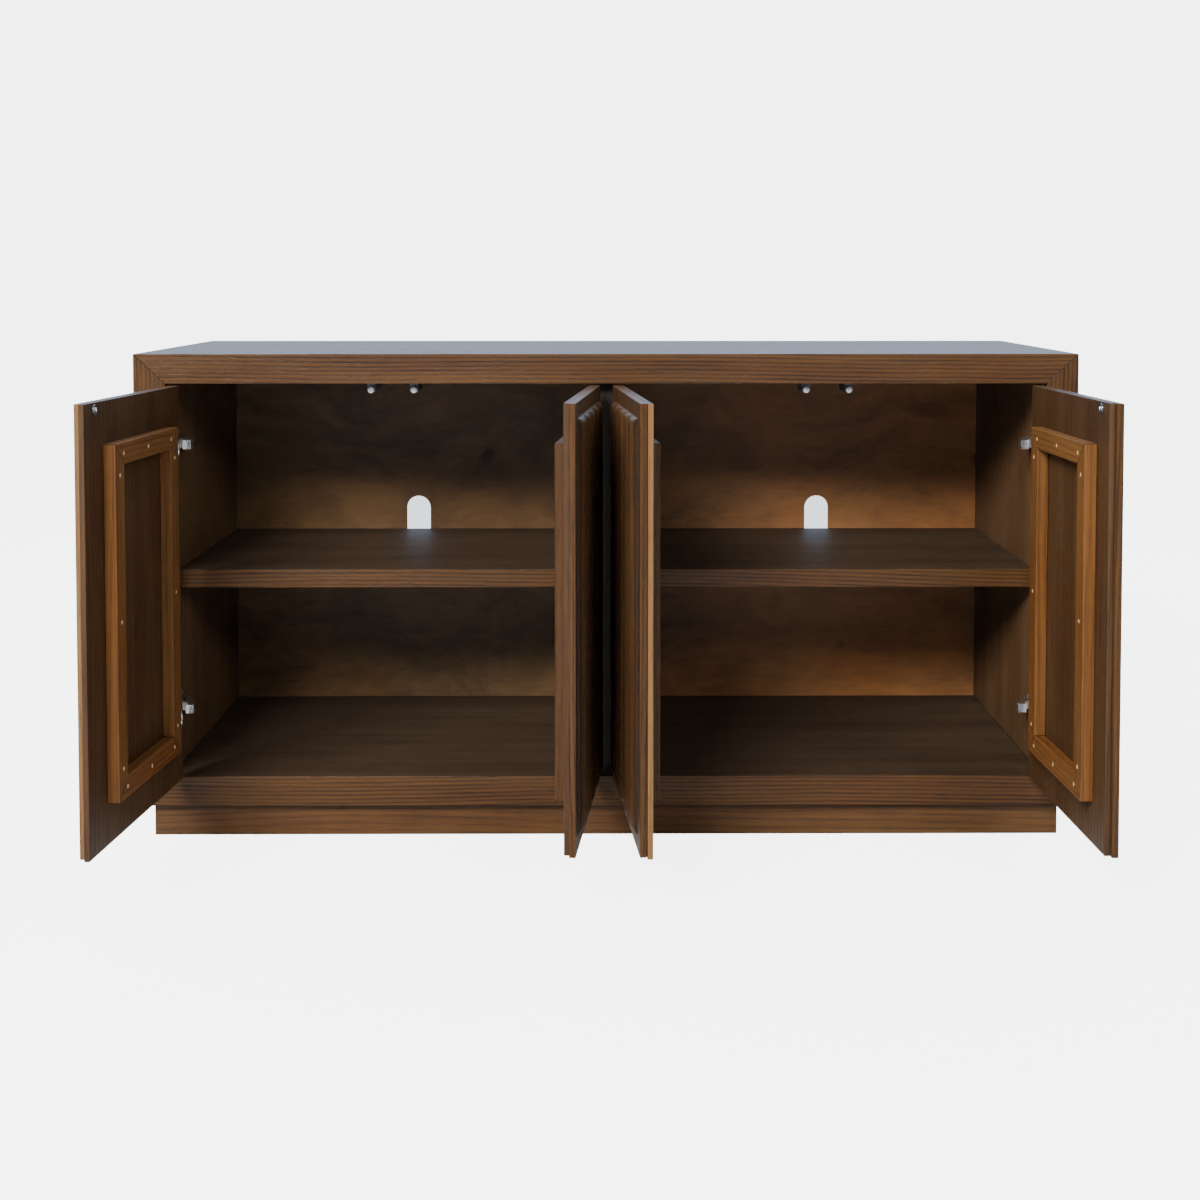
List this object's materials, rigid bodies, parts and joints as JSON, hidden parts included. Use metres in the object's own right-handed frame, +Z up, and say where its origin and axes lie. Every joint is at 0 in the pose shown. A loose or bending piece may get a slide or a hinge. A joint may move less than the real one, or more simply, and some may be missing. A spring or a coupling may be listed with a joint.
{
  "type": "tv stand with doors",
  "caption": "Low media cabinet with reeded doors on concealed hinges, open shelved bays with cable slots behind them, and a recessed plinth.",
  "frame": {"origin": "on the floor, under the middle of the whole model's box with the doors open as in the rest pose", "axes": "+X along the cabinet to the right as seen from the front, +Y to the back, +Z up"},
  "size_m": [1.524, 0.8686, 0.791],
  "materials": {
    "oak_veneer": "stained oak veneer, satin lacquer",
    "inner_panel": "stained birch ply, satin lacquer",
    "batten_wood": "stained solid wood, satin lacquer",
    "nickel": "nickel plated",
    "grey_plastic": "moulded, fine matt"
  },
  "bodies": {
    "case": {"back_panel": "inner_panel", "bottom_panel": "oak_veneer", "centre_divider": "oak_veneer", "left_inner_hinge_arm_lower": "nickel", "left_inner_hinge_arm_upper": "nickel", "left_inner_hinge_plate_lower": "nickel", "left_inner_hinge_plate_upper": "nickel", "left_inner_latch_housing": "grey_plastic", "left_outer_hinge_arm_lower": "nickel", "left_outer_hinge_arm_upper": "nickel", "left_outer_hinge_plate_lower": "nickel", "left_outer_hinge_plate_upper": "nickel", "left_outer_latch_housing": "grey_plastic", "left_shelf": "inner_panel", "left_side": "oak_veneer", "plinth_back": "oak_veneer", "plinth_front": "oak_veneer", "plinth_left": "oak_veneer", "plinth_right": "oak_veneer", "right_inner_hinge_arm_lower": "nickel", "right_inner_hinge_arm_upper": "nickel", "right_inner_hinge_plate_lower": "nickel", "right_inner_hinge_plate_upper": "nickel", "right_inner_latch_housing": "grey_plastic", "right_outer_hinge_arm_lower": "nickel", "right_outer_hinge_arm_upper": "nickel", "right_outer_hinge_plate_lower": "nickel", "right_outer_hinge_plate_upper": "nickel", "right_outer_latch_housing": "grey_plastic", "right_shelf": "inner_panel", "right_side": "oak_veneer", "top_panel": "oak_veneer"},
    "left_outer_door": {"left_outer_door_back": "inner_panel", "left_outer_door_battens": "batten_wood", "left_outer_door_front": "oak_veneer", "left_outer_door_strike": "nickel", "left_outer_hinge_cup_lower": "nickel", "left_outer_hinge_cup_upper": "nickel"},
    "left_inner_door": {"left_inner_door_back": "inner_panel", "left_inner_door_battens": "batten_wood", "left_inner_door_front": "oak_veneer", "left_inner_door_strike": "nickel", "left_inner_hinge_cup_lower": "nickel", "left_inner_hinge_cup_upper": "nickel"},
    "right_inner_door": {"right_inner_door_back": "inner_panel", "right_inner_door_battens": "batten_wood", "right_inner_door_front": "oak_veneer", "right_inner_door_strike": "nickel", "right_inner_hinge_cup_lower": "nickel", "right_inner_hinge_cup_upper": "nickel"},
    "right_outer_door": {"right_outer_door_back": "inner_panel", "right_outer_door_battens": "batten_wood", "right_outer_door_front": "oak_veneer", "right_outer_door_strike": "nickel", "right_outer_hinge_cup_lower": "nickel", "right_outer_hinge_cup_upper": "nickel"},
    "left_outer_plunger": {"left_outer_latch_plunger": "nickel"},
    "left_inner_plunger": {"left_inner_latch_plunger": "nickel"},
    "right_inner_plunger": {"right_inner_latch_plunger": "nickel"},
    "right_outer_plunger": {"right_outer_latch_plunger": "nickel"}
  },
  "joints": [
    {"name": "left_outer_door_hinge", "type": "hinge", "parent": "case", "child": "left_outer_door", "pos_m": [-0.71575, -0.0659, 0.42325], "axis": [0, 0, -1], "range_deg": [-95, 10]},
    {"name": "left_inner_door_hinge", "type": "hinge", "parent": "case", "child": "left_inner_door", "pos_m": [0.00525, -0.0659, 0.42325], "axis": [0, 0, 1], "range_deg": [-84.7, 3.3]},
    {"name": "right_inner_door_hinge", "type": "hinge", "parent": "case", "child": "right_inner_door", "pos_m": [-0.00525, -0.0659, 0.42325], "axis": [0, 0, -1], "range_deg": [-84, 4]},
    {"name": "right_outer_door_hinge", "type": "hinge", "parent": "case", "child": "right_outer_door", "pos_m": [0.71575, -0.0659, 0.42325], "axis": [0, 0, 1], "range_deg": [-92.2, 12.8]},
    {"name": "left_outer_plunger_slide", "type": "slide", "parent": "case", "child": "left_outer_plunger", "axis": [0, -1, 0], "range_m": [-0.004, 0], "stiffness_N_per_m": 350, "springref_m": 0.004},
    {"name": "left_inner_plunger_slide", "type": "slide", "parent": "case", "child": "left_inner_plunger", "axis": [0, -1, 0], "range_m": [-0.004, 0], "stiffness_N_per_m": 350, "springref_m": 0.004},
    {"name": "right_inner_plunger_slide", "type": "slide", "parent": "case", "child": "right_inner_plunger", "axis": [0, -1, 0], "range_m": [-0.004, 0], "stiffness_N_per_m": 350, "springref_m": 0.004},
    {"name": "right_outer_plunger_slide", "type": "slide", "parent": "case", "child": "right_outer_plunger", "axis": [0, -1, 0], "range_m": [-0.004, 0], "stiffness_N_per_m": 350, "springref_m": 0.004}
  ]
}
